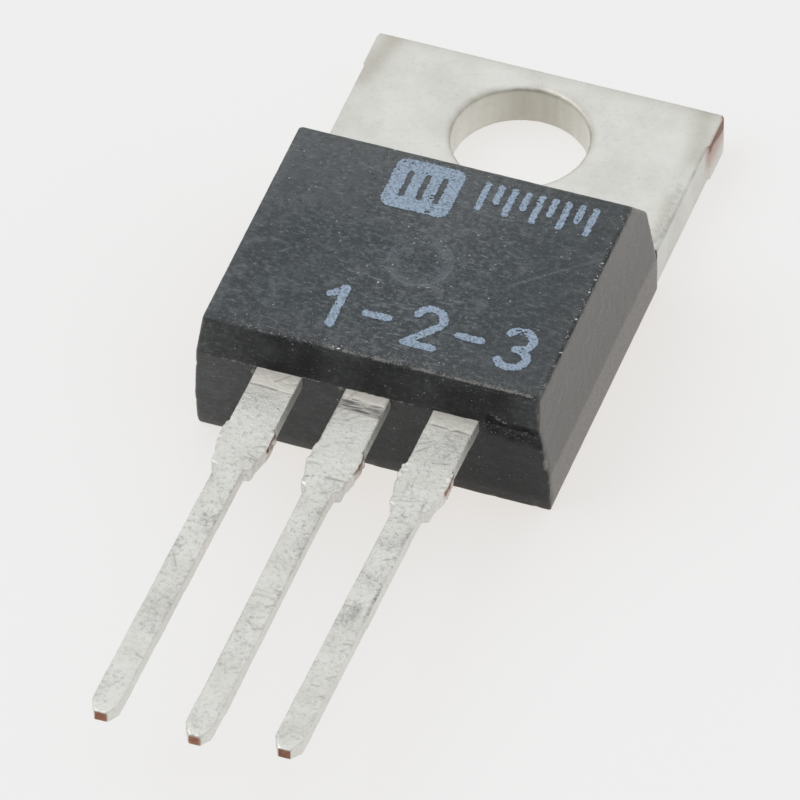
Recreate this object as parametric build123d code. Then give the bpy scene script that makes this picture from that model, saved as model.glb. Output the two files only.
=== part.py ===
from build123d import *
import os

os.makedirs("parts", exist_ok=True)

# A three-lead power transistor with a flat mounting tab, lying on its back. Millimetres.
# The origin is the centre of the mounting hole on the seating plane, which is the flat back
# of the tab. +Z leads away from that plane, +Y to the free end of the tab, -Y along the
# leads, and +X to the emitter lead.

# Header: tab and die pad, the thick gauge of the copper stamping
tab_width = 10.10
tab_thickness = 1.30
tab_corner_radius = 0.10
hole_diameter = 3.86
hole_top_edge_radius = 0.08
hole_bottom_edge_radius = 0.04
hole_to_tab_end = 2.67
ear_length = 1.31
ear_overhang = 0.05
die_pad_width = 8.0
mould_lock_width = 0.35
mould_lock_thickness = 0.65
groove_depth = 0.18
groove_setback = 0.75

# Moulded body
hole_to_body = 3.0
body_length = 9.64
body_bottom_width = 10.20
body_waist_width = 10.24
body_waist_height = 1.35
body_top_width = 9.68
body_top_offset = -0.045
cover_above_leads = 1.05
cover_ahead_of_pad = 2.05
front_foot_setback = 0.42
front_top_setback = 0.37
back_ledge = 0.10
back_draft = 0.32
back_slope_length = 1.03
back_slope_drop = 1.12
corner_radius = 0.07
top_edge_radius = 0.05
bottom_edge_radius = 0.12
pin_mark_diameter = 1.75
pin_mark_depth = 0.03

# Leads, the thin gauge
lead_pitch = 2.54
lead_length = 13.53
lead_thickness = 0.45
lead_top_height = 3.20
wide_lead_width = 1.30
narrow_lead_width = 0.78
dam_stub_width = 1.46
dam_stub_start = 2.10
dam_stub_length = 0.75
shoulder_distance = 3.78
shoulder_neck = 0.90
shoulder_radius = 0.12
tip_width = 0.36
tip_taper_length = 0.40
tip_bevel = 0.05
tip_bevel_length = 0.28
downset_run = 0.80
downset_radius = 0.40
# How far each free end has been bent: sideways, and up
base_lead_bend = (-0.21, 0.02)
collector_lead_bend = (-0.10, 0.01)
emitter_lead_bend = (-0.10, 0.37)

# Bonding pads at the inner ends of the base and emitter leads
bond_pad_width = 2.10
bond_pad_length = 1.25
bond_pad_reach = 2.05
bond_pad_inset = 0.98
lock_notch_radius = 0.22

# Chip, its solder, and the bond wires
die_size = 4.50
die_thickness = 0.28
die_front_gap = 1.10
solder_margin = 0.12
solder_thickness = 0.06
base_wire_diameter = 0.25
base_foot = (-1.35, -1.10)
emitter_wire_diameter = 0.38
emitter_foot = (1.00, -0.60)
wire_foot_length = 0.55
wire_loop_rise = 0.55
wire_loop_run = 0.55
wire_bend_radius = 0.30
wire_foot_squash = 0.5

# Levels and places that follow from the sizes above
body_height = lead_top_height + cover_above_leads
back_y = -hole_to_body
front_y = back_y - body_length
pad_front_y = front_y + cover_ahead_of_pad
tip_y = front_y - lead_length
lead_mid_height = lead_top_height - lead_thickness / 2
die_y = pad_front_y + die_front_gap + die_size / 2
die_bottom = tab_thickness + solder_thickness
die_top = die_bottom + die_thickness
reach = 4 * max(body_length, tab_width, lead_length)


def plan_prism(points, radii, low, high):
    """A closed outline in plan, extruded from one level to another."""
    outline = make_face(FilletPolyline(*points, radius=radii, close=True))
    return extrude(Pos(0, 0, low) * outline, amount=high - low)


def side_prism(points, left, right):
    """A closed (y, z) outline, seen from the side, extruded from left to right."""
    outline = make_face(Polyline(*points, close=True))
    return extrude(Plane.YZ.offset(left) * outline, amount=right - left)


def front_prism(points, front, back):
    """A closed (x, z) outline, seen along +Y, extruded from front to back."""
    outline = make_face(Polyline(*points, close=True))
    return extrude(Plane.XZ.offset(-front) * outline, amount=-(back - front))


def mirrored(points):
    """The right half of an outline, given front to back, closed by its mirror image."""
    return points + [(-x, y) for x, y in reversed(points)]


def tab_and_die_pad():
    """The thick plate: a full-width tab with its hole, then a narrower pad in the body."""
    tab_end = hole_to_tab_end
    half_tab = tab_width / 2
    half_ear = half_tab + ear_overhang
    half_pad = die_pad_width / 2
    half = [
        (half_pad, pad_front_y),
        (half_pad, back_y),
        (half_tab, back_y),
        (half_tab, tab_end - ear_length - ear_overhang),
        (half_ear, tab_end - ear_length),
        (half_ear, tab_end),
    ]
    outline = mirrored(half)
    radii = [tab_corner_radius if y == tab_end else 0.0 for _, y in outline]
    plate = plan_prism(outline, radii, 0, tab_thickness)
    plate -= Cylinder(hole_diameter / 2, 3 * tab_thickness)
    plate = fillet(hole_rims(plate)[-1], hole_top_edge_radius)
    plate = fillet(hole_rims(plate)[0], hole_bottom_edge_radius)
    return plate - mould_locks() - solder_groove()


def hole_rims(plate):
    """The circles as wide as the hole, lowest first."""
    circles = plate.edges().filter_by(GeomType.CIRCLE)
    return circles.filter_by(lambda rim: abs(rim.radius - hole_diameter / 2) < 1e-4).sort_by(Axis.Z)


def mould_locks():
    """Rebates under the pad's two long edges, which the moulding wraps to grip the pad."""
    half_pad = die_pad_width / 2
    depth = tab_thickness - mould_lock_thickness
    rebate = Pos((half_pad - mould_lock_width / 2), (pad_front_y + back_y) / 2, depth / 2)
    box = Box(mould_lock_width, back_y - pad_front_y, depth)
    right = rebate * box
    return right + mirror(right, Plane.YZ)


def solder_groove():
    """A V groove across the pad's top, which stops solder and moisture from creeping."""
    middle = back_y - groove_setback
    points = [
        (middle - groove_depth, tab_thickness),
        (middle, tab_thickness - groove_depth),
        (middle + groove_depth, tab_thickness),
    ]
    return side_prism(points, -die_pad_width, die_pad_width)


def lead_outline(axis_x, bend, inner):
    """A lead in plan: its inner half-outline, then the dam-bar stub, shoulder and tip."""
    stub_end = dam_stub_start + dam_stub_length
    shoulder = shoulder_distance
    stations = inner + [
        (0.0, wide_lead_width, 0.0),
        (dam_stub_start, wide_lead_width, 0.0),
        (dam_stub_start + 0.08, dam_stub_width, 0.0),
        (stub_end, dam_stub_width, 0.0),
        (shoulder - 0.35, wide_lead_width * shoulder_neck, shoulder_radius),
        (shoulder, wide_lead_width * shoulder_neck, shoulder_radius),
        (shoulder + 0.02, narrow_lead_width, shoulder_radius / 2),
        (lead_length - tip_taper_length, narrow_lead_width, 0.0),
        (lead_length, tip_width, 0.0),
    ]

    def side(sign):
        lean = [max(0.0, distance) / lead_length * bend[0] for distance, _, _ in stations]
        return [
            (axis_x + lean[i] + sign * width / 2, front_y - distance)
            for i, (distance, width, _) in enumerate(stations)
        ]

    radii = [radius for _, _, radius in stations]
    return side(1) + side(-1)[::-1], radii + radii[::-1]


def lead_band(line):
    """The thin gauge in side view along a (y, z) centre line, as wide as any lead."""
    strip = Plane.YZ.offset(-reach) * trace(line, lead_thickness)
    return extrude(strip, amount=2 * reach)


def tip_bevels(bend):
    """Two wedges that thin a lead's tip above and below."""
    wedges = Part()
    for side in (1, -1):
        face = lead_mid_height + side * lead_thickness / 2 + bend[1]
        points = [
            (tip_y + tip_bevel_length, face),
            (tip_y - tip_bevel_length, face - side * 2 * tip_bevel),
            (tip_y - tip_bevel_length, face + side * lead_thickness),
            (tip_y + tip_bevel_length, face + side * lead_thickness),
        ]
        wedges += side_prism(points, -reach, reach)
    return wedges


def collector_header():
    """Tab, die pad and centre lead in one piece; the lead steps up to the lead plane."""
    root_height = tab_thickness - lead_thickness / 2
    step_start = pad_front_y - lead_thickness / 2
    line = FilletPolyline(
        (pad_front_y + lead_thickness, root_height),
        (step_start, root_height),
        (step_start - downset_run, lead_mid_height),
        (front_y, lead_mid_height),
        (tip_y, lead_mid_height + collector_lead_bend[1]),
        radius=[downset_radius, downset_radius, 0.0],
    )
    root = [(front_y - pad_front_y - lead_thickness, wide_lead_width, 0.0)]
    points, radii = lead_outline(0.0, collector_lead_bend, root)
    lead = plan_prism(points, radii, 0, 2 * body_height) & lead_band(line)
    return tab_and_die_pad() + (lead - tip_bevels(collector_lead_bend))


def outer_lead(side, bend):
    """The base lead (side -1) or the emitter lead (side 1) with its bonding pad."""
    axis_x = side * lead_pitch
    line = Polyline(
        (front_y + bond_pad_reach, lead_mid_height),
        (front_y, lead_mid_height),
        (tip_y, lead_mid_height + bend[1]),
    )
    points, radii = lead_outline(axis_x, bend, [(-bond_pad_reach, wide_lead_width, 0.0)])
    lead = plan_prism(points, radii, 0, 2 * body_height) & lead_band(line)
    pad_x = axis_x + side * (bond_pad_inset - bond_pad_width / 2)
    pad_y = front_y + bond_pad_reach - bond_pad_length / 2
    pad = Pos(pad_x, pad_y, lead_mid_height) * Box(bond_pad_width, bond_pad_length, lead_thickness)
    notch_x = axis_x + side * bond_pad_inset
    notch = Pos(notch_x, pad_y, lead_mid_height) * Cylinder(lock_notch_radius, 2 * lead_thickness)
    return lead - tip_bevels(bend) + pad - notch


def silicon_die():
    """The chip, flat on its solder."""
    place = Pos(0, die_y, die_bottom + die_thickness / 2)
    return place * Box(die_size, die_size, die_thickness)


def die_attach_solder():
    """The solder layer, a little wider than the chip."""
    width = die_size + 2 * solder_margin
    place = Pos(0, die_y, tab_thickness + solder_thickness / 2)
    return place * Box(width, width, solder_thickness)


def bond_wire(side, diameter, foot, chip, lead):
    """A wire from the chip, over a rounded loop, to a lead's pad; it kinks at both heels."""
    lift = diameter * (0.5 - wire_foot_squash / 4)
    start = Vector(foot[0], die_y + foot[1], die_top + lift)
    pad_x = side * (lead_pitch + bond_pad_inset - bond_pad_width / 2)
    pad_y = front_y + bond_pad_reach - bond_pad_length / 2
    end = Vector(pad_x, pad_y, lead_top_height + lift)
    along = Vector(end.X - start.X, end.Y - start.Y, 0).normalized()
    top = lead_top_height + wire_loop_rise
    first_top = start + along * (wire_foot_length + wire_loop_run)
    last_top = end - along * (wire_foot_length / 2 + wire_loop_run)
    path = FilletPolyline(
        start - along * wire_foot_length / 2,
        start + along * wire_foot_length / 2,
        Vector(first_top.X, first_top.Y, top),
        Vector(last_top.X, last_top.Y, top),
        end - along * wire_foot_length / 2,
        end + along * wire_foot_length / 2,
        radius=[0.0, wire_bend_radius, wire_bend_radius, 0.0],
    )
    section = Plane(origin=path @ 0, z_dir=path % 0) * Circle(diameter / 2)
    return sweep(section, path=path, transition=Transition.RIGHT) - chip - lead


def body_envelope():
    """The moulding's outer form: its side view and its front view, each extruded, meet."""
    side_view = [
        (front_y + front_foot_setback, 0),
        (front_y, lead_top_height),
        (front_y + front_top_setback, body_height),
        (back_y - back_ledge - back_draft - back_slope_length, body_height),
        (back_y - back_ledge - back_draft, body_height - back_slope_drop),
        (back_y - back_ledge, tab_thickness),
        (back_y, tab_thickness),
        (back_y, 0),
    ]
    front_view = [
        (body_bottom_width / 2, 0),
        (body_waist_width / 2, body_waist_height),
        (body_top_offset + body_top_width / 2, body_height),
        (body_top_offset - body_top_width / 2, body_height),
        (-body_waist_width / 2, body_waist_height),
        (-body_bottom_width / 2, 0),
    ]
    shape = side_prism(side_view, -reach, reach)
    shape &= front_prism(front_view, front_y - reach, back_y + reach)
    return soften(shape)


def soften(shape):
    """Small mould radii: the foot, then the upright front corners, then the top edges."""
    foot = shape.faces().sort_by(Axis.Z)[0].edges()
    foot = foot.filter_by(lambda edge: edge.center().Y < back_y - 1e-3)
    shape = fillet(foot, bottom_edge_radius)
    upright = shape.edges().filter_by(lambda edge: edge.bounding_box().size.Z > 0.5)
    corners = upright.filter_by(lambda edge: edge.center().Y < (front_y + back_y) / 2)
    shape = fillet(corners, corner_radius)
    top = shape.faces().sort_by(Axis.Z)[-1]
    return fillet(top.edges(), top_edge_radius)


def moulded_body(contents):
    """The epoxy moulding, cast round everything it holds."""
    mark_y = (front_y + front_top_setback + back_y - back_ledge - back_draft - back_slope_length) / 2
    mark = Pos(0, mark_y, body_height) * Cylinder(pin_mark_diameter / 2, 2 * pin_mark_depth)
    body = body_envelope() - mark
    for piece in contents:
        body -= piece
    return body


header = collector_header()
base = outer_lead(-1, base_lead_bend)
emitter = outer_lead(1, emitter_lead_bend)
die = silicon_die()
solder = die_attach_solder()
base_wire = bond_wire(-1, base_wire_diameter, base_foot, die, base)
emitter_wire = bond_wire(1, emitter_wire_diameter, emitter_foot, die, emitter)

nodes = {
    "collector_header": header,
    "base_lead": base,
    "emitter_lead": emitter,
    "silicon_die": die,
    "die_attach_solder": solder,
    "base_bond_wire": base_wire,
    "emitter_bond_wire": emitter_wire,
}
nodes["moulded_body"] = moulded_body(list(nodes.values()))

for name, shape in nodes.items():
    shape.label = name
    export_step(shape, f"parts/{name}.step")
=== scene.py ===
import math
from collections import namedtuple

import bmesh
import bpy
import numpy as np
from mathutils import Matrix, Vector


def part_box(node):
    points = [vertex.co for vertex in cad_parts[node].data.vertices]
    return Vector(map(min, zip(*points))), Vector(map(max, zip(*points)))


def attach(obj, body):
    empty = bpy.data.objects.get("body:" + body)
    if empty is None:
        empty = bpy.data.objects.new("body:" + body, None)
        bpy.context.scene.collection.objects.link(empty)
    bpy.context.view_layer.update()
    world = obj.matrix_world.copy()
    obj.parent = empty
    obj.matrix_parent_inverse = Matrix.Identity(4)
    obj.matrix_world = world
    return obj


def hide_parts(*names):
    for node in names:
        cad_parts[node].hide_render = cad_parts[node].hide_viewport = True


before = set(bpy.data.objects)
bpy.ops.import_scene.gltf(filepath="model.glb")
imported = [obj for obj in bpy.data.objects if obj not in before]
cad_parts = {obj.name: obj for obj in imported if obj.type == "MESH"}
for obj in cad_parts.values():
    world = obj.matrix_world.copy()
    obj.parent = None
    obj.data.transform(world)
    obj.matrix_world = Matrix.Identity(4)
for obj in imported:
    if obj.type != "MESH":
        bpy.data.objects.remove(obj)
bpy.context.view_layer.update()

# Sizes below are millimetres in the frame's axes: -Y along the leads, +Z up from the seat.
MM = 0.001
SKIN = 0.004         # how far the moulding's visible skin lies inside the CAD's faces
TOP_SKIN = 0.014     # the same for its top, which leaves room for the ink


def corners_mm(node):
    """A CAD node's lowest and highest corners, in millimetres."""
    return tuple(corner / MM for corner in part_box(node))


body_low, body_high = corners_mm("moulded_body")
header_low, header_high = corners_mm("collector_header")
front_y = body_low.y
back_y = body_high.y
top_z = body_high.z
skin_top = top_z - TOP_SKIN
tip_y = header_low.y
tab_end_y = header_high.y

# The leads and the header, as their drawings give them
TAB_TOP = 1.3
LEAD_TOP = 3.2
LEAD_PITCH = 2.54
LEAD_WIDTH = 1.3
LEAD_LENGTH = front_y - tip_y
STUB_START, STUB_END = 2.1, 2.85
HOLE_RADIUS = 1.93
DIE_PAD_HALF = 4
MOULD_LOCK = 0.35
PAD_COVER = 2.05     # how far the moulding reaches ahead of the die pad
pad_front_y = front_y + PAD_COVER

# The moulding's drawing: its half width and where its middle is, and how far its front and
# back lie inside the foremost and rearmost lines, at each height. Its parting line is level
# with the leads' tops.
RIDGE_HEIGHT = 1.35
SIDE_HEIGHTS = (0, RIDGE_HEIGHT, top_z)
HALF_WIDTHS, MIDDLES = (5.12, 5.12, 4.84), (0, 0, -0.045)
FRONT_HEIGHTS, FRONT_SETBACKS = (0, LEAD_TOP, top_z), (0.42, 0, 0.37)
BACK_HEIGHTS = (0, TAB_TOP - 0.01, TAB_TOP, top_z - 1.12, top_z)
BACK_SETBACKS = (0, 0, 0.1, 0.42, 1.45)
FOOT_RADIUS, RIM_RADIUS = 0.06, 0.05
FRONT_CORNER_RADIUS = 0.07
BACK_CORNER_RADII = 0.27, 0.12     # at the ridge, and at the top
PIN_RADIUS = 0.9
pin_mark_y = (front_y + FRONT_SETBACKS[-1] + back_y - BACK_SETBACKS[-1]) / 2

# Painted shade on the front at places from side to side, above and below the parting line
FRONT_SHADE_ABOVE = {
    -4.9: 0, -4.2: 0.28, -3.4: 0.54, -2.6: 0.94, -1.7: 0.82, -0.9: 0.46, 0: 0.72,
    0.9: 0.72, 1.7: 0.52, 2.6: 0.72, 3.5: 0.84, 4.2: 0.54, 4.8: 0.15,
}
FRONT_SHADE_BELOW = {-4.9: 0.12, -3.9: 0.3, -1.5: 0.42, 1.3: 0.55, 3.8: 0.72, 4.9: 0.62}
# How scuffed the pin mark's rim is, by the angle in degrees from +X
RIM_SCUFF = {
    -180: 0.35, -150: 0.3, -115: 0.4, -95: 0.9, -60: 0.85, -45: 0.4, -15: 0.75, 5: 0.6,
    30: 0.3, 60: 0.12, 120: 0.15, 160: 0.45, 180: 0.35,
}
# Painted shade on the hole's wall, by the angle in degrees from +Y towards +X
WALL_SHADE = {-80: 0, -54: 0.22, -36: 0.45, -16: 0.62, 5: 0.6, 31: 0.23, 46: 0.1, 70: 0}
# Scratches on the top: from, to, width and strength. Two of them also hold grit.
LONG_SCRATCH = (2.67, -8.38), (4.68, -6.62)
BACK_SCRATCH = (3, -6.4), (4.5, -6.7)
SCRATCHES = (
    (*LONG_SCRATCH, 0.07, 0.55), ((1.8, -6.8), (2.9, -7.3), 0.06, 0.4),
    (*BACK_SCRATCH, 0.06, 0.35), ((-3.9, -7.7), (-1.6, -7.55), 0.05, 0.25),
    ((3.5, -7.9), (4.6, -8.1), 0.05, 0.3),
)

# Each lead: its axis, how far its end is bent sideways, where the clamp's line across it
# starts and how wide it is, its smudge's side, reach and strength, and its noise's seed
Lead = namedtuple("Lead", "axis bend clamp smudge seed")
BASE_LEAD = Lead(-LEAD_PITCH, -0.21, (0.64, 0.02), (-1, 2.2, 0.22), 20)
CENTRE_LEAD = Lead(0, -0.1, (0.32, 0.42), (-1, 0.9, 0.34), 60)
EMITTER_LEAD = Lead(LEAD_PITCH, -0.1, (0.53, 0.02), (1, 2.3, 0.3), 40)
LEAD_CELL, HEADER_CELL = 0.035, 0.06     # how fine the meshes of the tinned pieces are


def outline_at(height):
    """The moulding's middle, half width, front and back at a height."""
    middle = np.interp(height, SIDE_HEIGHTS, MIDDLES)
    half = np.interp(height, SIDE_HEIGHTS, HALF_WIDTHS)
    front = front_y + np.interp(height, FRONT_HEIGHTS, FRONT_SETBACKS)
    back = back_y - np.interp(height, BACK_HEIGHTS, BACK_SETBACKS)
    return middle, half, front, back


# ---- noise for the meshes

NOISE_CELLS = 32         # the noise repeats after so many cells
NOISE_START = 1000.5     # puts the origin in the middle of a cell


def grain(points, size, seed):
    """Smooth random values from -1 to 1 at points, with blobs about size across."""
    grid = np.random.RandomState(seed).uniform(-1, 1, (NOISE_CELLS,) * 3)
    place = np.asarray(points, float) / size + NOISE_START
    cell = np.floor(place).astype(int)
    part = place - cell
    part = part * part * (3 - 2 * part)
    total = np.zeros(len(place))
    for corner in np.ndindex(2, 2, 2):
        weight = np.ones(len(place))
        for axis in range(3):
            weight *= part[:, axis] if corner[axis] else 1 - part[:, axis]
        at = [(cell[:, axis] + corner[axis]) % NOISE_CELLS for axis in range(3)]
        total += weight * grid[at[0], at[1], at[2]]
    return total


def fade(low, high, values):
    """0 below low, 1 above high, and a smooth rise between. It falls if low > high."""
    part = np.clip((values - low) / (high - low), 0, 1)
    return part * part * (3 - 2 * part)


def peak(values, centre, width):
    """1 at centre, falling smoothly to 0 at width away."""
    return fade(width, 0, np.abs(values - centre))


def line_gap(points, start, end):
    """How far points are from the straight line between start and end."""
    start, end = np.array(start, float), np.array(end, float)
    run = end - start
    part = np.clip(((points - start) @ run) / (run @ run), 0, 1)
    return np.linalg.norm(points - start - part[:, None] * run, axis=1)


def from_table(values, table):
    """What the table gives at values, with straight lines between its entries."""
    return np.interp(values, list(table), list(table.values()))


# ---- mesh helpers

def new_object(name, data):
    thing = bpy.data.objects.new(name, data)
    bpy.context.scene.collection.objects.link(thing)
    return thing


def mesh_object(name, points, faces):
    """A new piece from points in millimetres."""
    mesh = bpy.data.meshes.new(name)
    mesh.from_pydata([tuple(p) for p in np.asarray(points) * MM], [], faces)
    mesh.validate()
    mesh.update()
    mesh.shade_smooth()
    return new_object(name, mesh)


def points_of(piece):
    """The piece's points in millimetres, and their normals."""
    count = len(piece.data.vertices)
    points, normals = np.empty(count * 3), np.empty(count * 3)
    piece.data.vertices.foreach_get("co", points)
    piece.data.vertices.foreach_get("normal", normals)
    return points.reshape(-1, 3) / MM, normals.reshape(-1, 3)


def set_points(piece, points):
    piece.data.vertices.foreach_set("co", (points * MM).ravel())
    piece.data.update()


def kept_inside(points, low, high, above_low, below_high):
    """The points, held that far inside a box's low and high sides."""
    return np.clip(points, np.array(low) + above_low, np.array(high) - below_high)


def paint(piece, layers):
    """Stores layers of one number a point, which the piece's material reads."""
    for name, values in layers.items():
        layer = piece.data.attributes.new(name, "FLOAT", "POINT")
        layer.data.foreach_set("value", np.clip(values, 0, 1).astype(np.float32))


def finished(piece, material, slot, *nodes):
    """Gives a piece its material and body, and hides the CAD nodes it stands for. Its slot is not used.
    """
    piece.data.materials.clear()
    piece.data.materials.append(material)
    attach(piece, "root")
    if nodes:
        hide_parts(*nodes)
    return piece


def softened_copy(node, name, cell):
    """A copy of a CAD node as an even, fine mesh, which rounds its edges by about a cell."""
    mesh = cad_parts[node].data.copy()
    mesh.transform(Matrix.Scale(1 / MM, 4))
    work = bmesh.new()
    work.from_mesh(mesh)
    bmesh.ops.remove_doubles(work, verts=work.verts, dist=1e-4)
    work.to_mesh(mesh)
    work.free()
    piece = new_object(name, mesh)
    even = piece.modifiers.new("even", "REMESH")
    even.mode = "VOXEL"
    even.voxel_size = cell
    smooth = piece.modifiers.new("smooth", "SMOOTH")
    smooth.factor = 0.5
    smooth.iterations = 2
    shaped = piece.evaluated_get(bpy.context.evaluated_depsgraph_get())
    fine = bpy.data.meshes.new_from_object(shaped)
    piece.modifiers.clear()
    piece.data = fine
    fine.name = name
    fine.transform(Matrix.Scale(MM, 4))
    fine.shade_smooth()
    return piece


# ---- materials

class Value:
    """A shader node's output. +, - and * add a node that combines it with a number or with
    another output."""

    def __init__(self, nodes, socket):
        self.nodes, self.socket = nodes, socket

    def __add__(self, other):
        return self.nodes.maths("ADD", self, other)

    def __sub__(self, other):
        return self.nodes.maths("SUBTRACT", self, other)

    def __mul__(self, other):
        return self.nodes.maths("MULTIPLY", self, other)

    def ranged(self, low, high, to_low=0, to_high=1):
        """This, from low..high to to_low..to_high, held at the ends."""
        ends = {"From Min": low, "From Max": high, "To Min": to_low, "To Max": to_high}
        sockets = {"Value": self, **ends}
        return self.nodes.add("MapRange", 0, sockets, interpolation_type="SMOOTHSTEP")

    def beside(self, output):
        """Another output of the same node."""
        return Value(self.nodes, self.socket.node.outputs[output])


class Nodes:
    """A tree of shader nodes, with short names for the nodes used here."""

    def __init__(self, tree):
        self.tree = tree

    def put(self, socket, value):
        """Links a Value to a socket, or sets the socket to a number, vector or colour."""
        if isinstance(value, Value):
            self.tree.links.new(value.socket, socket)
        else:
            socket.default_value = (*value, 1) if socket.type == "RGBA" else value

    def add(self, kind, output, inputs=(), **settings):
        """Adds a node, and gives its output of that name or number."""
        node = self.tree.nodes.new("ShaderNode" + kind)
        for name, value in settings.items():
            setattr(node, name, value)
        for name, value in dict(inputs).items():
            self.put(node.inputs[name], value)
        return Value(self, node.outputs[output])

    def maths(self, operation, first, second):
        return self.add("Math", 0, {0: first, 1: second}, operation=operation)

    def mixed(self, factor, first, second):
        """The first colour where factor is 0, the second where it is 1."""
        return self.add("Mix", 2, {0: factor, 6: first, 7: second}, data_type="RGBA")

    def painted(self, name):
        return self.add("Attribute", "Fac", attribute_name=name)


class Finish(Nodes):
    """A new material, whose textures are placed on its object."""

    def __init__(self, name):
        self.material = bpy.data.materials.new(name)
        self.material.use_nodes = True
        super().__init__(self.material.node_tree)
        self.shader = self.tree.nodes["Principled BSDF"]
        self.place = self.add("TexCoord", "Object")

    def look(self, sockets):
        """Sets the shader's sockets, and gives the material."""
        for name, value in sockets.items():
            self.put(self.shader.inputs[name], value)
        return self.material

    def noise(self, size, detail, roughness, seed, stretch=None):
        """Noise from 0 to 1 with blobs about size millimetres across."""
        place = self.place
        if stretch:
            place = self.add("VectorMath", 0, {0: place, 1: stretch}, operation="MULTIPLY")
        place = self.add("VectorMath", 0, {0: place, 1: (seed,) * 3}, operation="ADD")
        sockets = {"Vector": place, "Scale": 1 / (size * MM), "Detail": detail,
                   "Roughness": roughness}
        return self.add("TexNoise", "Fac", sockets)

    def specks(self, spacing, radius, share):
        """1 in round specks that lie in that share of cells spacing millimetres apart."""
        sockets = {"Vector": self.place, "Scale": 1 / (spacing * MM)}
        colour = self.add("TexVoronoi", "Color", sockets)
        pick = self.add("SeparateColor", 0, {0: colour})
        size = pick.beside(1).ranged(0, 1, 0.35, 1) * (radius / spacing)
        near = self.maths("LESS_THAN", colour.beside("Distance"), size)
        return pick.ranged(1 - share, 1 - share + 0.01) * near

    def bump(self, height, depth):
        """A bump of that depth in millimetres."""
        sockets = {"Height": height, "Strength": 1, "Distance": depth * MM}
        return self.add("Bump", 0, sockets)


def epoxy_material():
    """Black moulding compound: the top abraded and dusty, the flanks smoother and plainer,
    with painted sheen and shade in its tones.
    """
    coat = Finish("epoxy")
    painted, mixed = coat.painted, coat.mixed
    texture = painted("texture")
    clouds = coat.noise(0.9, 3, 0.6, 0.11).ranged(0.3, 0.7)
    blotch = coat.noise(0.34, 2, 0.6, 0.15)
    mottle = coat.noise(0.15, 3, 0.65, 0.07)
    fine = coat.noise(0.05, 2, 0.7, 0.09)
    streak = coat.noise(0.065, 2, 0.6, 0.05, stretch=(0.28, 1, 1))
    tooth = mottle - 0.5 + (fine - 0.5) * 1.7
    flank = (painted("flank") + tooth * 1.3 * painted("ragged")).ranged(0.44, 0.56)
    tone = mixed(clouds, (0.015, 0.024, 0.031), (0.025, 0.036, 0.045))
    rim = painted("rim") * mottle.ranged(0.2, 0.8, 0.35, 0.9)
    tone = mixed(rim, tone, (0.032, 0.034, 0.035))
    # painted sheen: the top paler and bluer towards the tab
    tone = mixed(painted("top_sheen"), tone, (0.105, 0.113, 0.117))
    # painted light: the top's bluer tone and the flanks' warmer one are the colours they reflect
    plain = mixed(clouds, (0.026, 0.0255, 0.026), (0.034, 0.0335, 0.033))
    tone = mixed(flank, tone, plain)
    # painted sheen: the flanks paler and warmer, most low down
    tone = mixed(painted("flank_sheen"), tone, (0.122, 0.101, 0.083))
    pits = mottle.ranged(0.48, 0.3, 0, 0.8) * texture
    tone = mixed(pits, tone, (0.01, 0.015, 0.019))
    lifts = (
        (blotch, 0.46, 0.78, 0.8, 0.095), (mottle, 0.49, 0.76, 1, 0.128),
        (streak, 0.52, 0.78, 0.8, 0.175), (fine, 0.53, 0.78, 0.6, 0.17),
    )
    for noise, low, high, most, shade in lifts:
        lift = noise.ranged(low, high, 0, most) * texture
        tone = mixed(lift, tone, (shade, shade * 1.13, shade * 1.19))
    scuff = painted("scuff") * fine.ranged(0.35, 0.62, 0.25, 1)
    tone = mixed(scuff, tone, (0.17, 0.2, 0.22))
    notch = (painted("notch") + tooth * 1.6).ranged(0.42, 0.6, 0, 0.9)
    tone = mixed(notch, tone, (0.008, 0.009, 0.01))
    # painted shade: black on the front, the torn patch, the right edge and the tab's corner
    painted_shade = painted("dark") * flank
    tone = mixed(painted_shade, tone, (0.006, 0.006, 0.007))
    speck_sizes = (0.09, 0.02, 0.2, 0.17), (0.16, 0.03, 0.2, 0.22), (0.4, 0.04, 0.3, 0.3)
    for spacing, radius, share, shade in speck_sizes:
        spots = coat.specks(spacing, radius, share) * texture
        tone = mixed(spots, tone, (shade, shade * 1.04, shade * 1.05))
    rub = (painted("wear") + tooth).ranged(0.4, 0.66)
    return coat.look({
        "Base Color": mixed(rub, tone, (0.175, 0.168, 0.158)),
        "Specular IOR Level": painted_shade.ranged(0, 1, 0.5, 0.22),
        "Roughness": mottle.ranged(0.2, 0.8, 0.38, 0.48) - painted("polish") * 0.14,
        "IOR": 1.5,
        "Normal": coat.bump((fine + mottle * 1.4) * texture, 0.014),
    })


def grit_material():
    """Pale grit, brighter where "bright" is painted."""
    coat = Finish("grit")
    tone = coat.noise(0.03, 2, 0.5, 0.3).ranged(0.3, 0.7)
    tone = coat.mixed(tone, (0.74, 0.76, 0.75), (0.92, 0.93, 0.92))
    tone = coat.mixed(coat.painted("bright"), (0.075, 0.082, 0.086), tone)
    return coat.look({"Base Color": tone, "Roughness": 0.5, "IOR": 1.5})


def ink_material():
    """Worn pale blue marking ink."""
    coat = Finish("marking_ink")
    thin = coat.noise(0.07, 3, 0.75, 0.03).ranged(0.3, 0.6)
    tone = coat.mixed(thin, (0.12, 0.155, 0.195), (0.33, 0.42, 0.54))
    holes = coat.noise(0.035, 1, 0.5, 0.08).ranged(0.66, 0.76, 0, 0.8)
    tone = coat.mixed(holes, tone, (0.05, 0.055, 0.06))
    bump = coat.bump(coat.noise(0.05, 2, 0.6, 0.06), 0.006)
    return coat.look({"Base Color": tone, "Roughness": 0.6, "IOR": 1.45, "Normal": bump})


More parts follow.
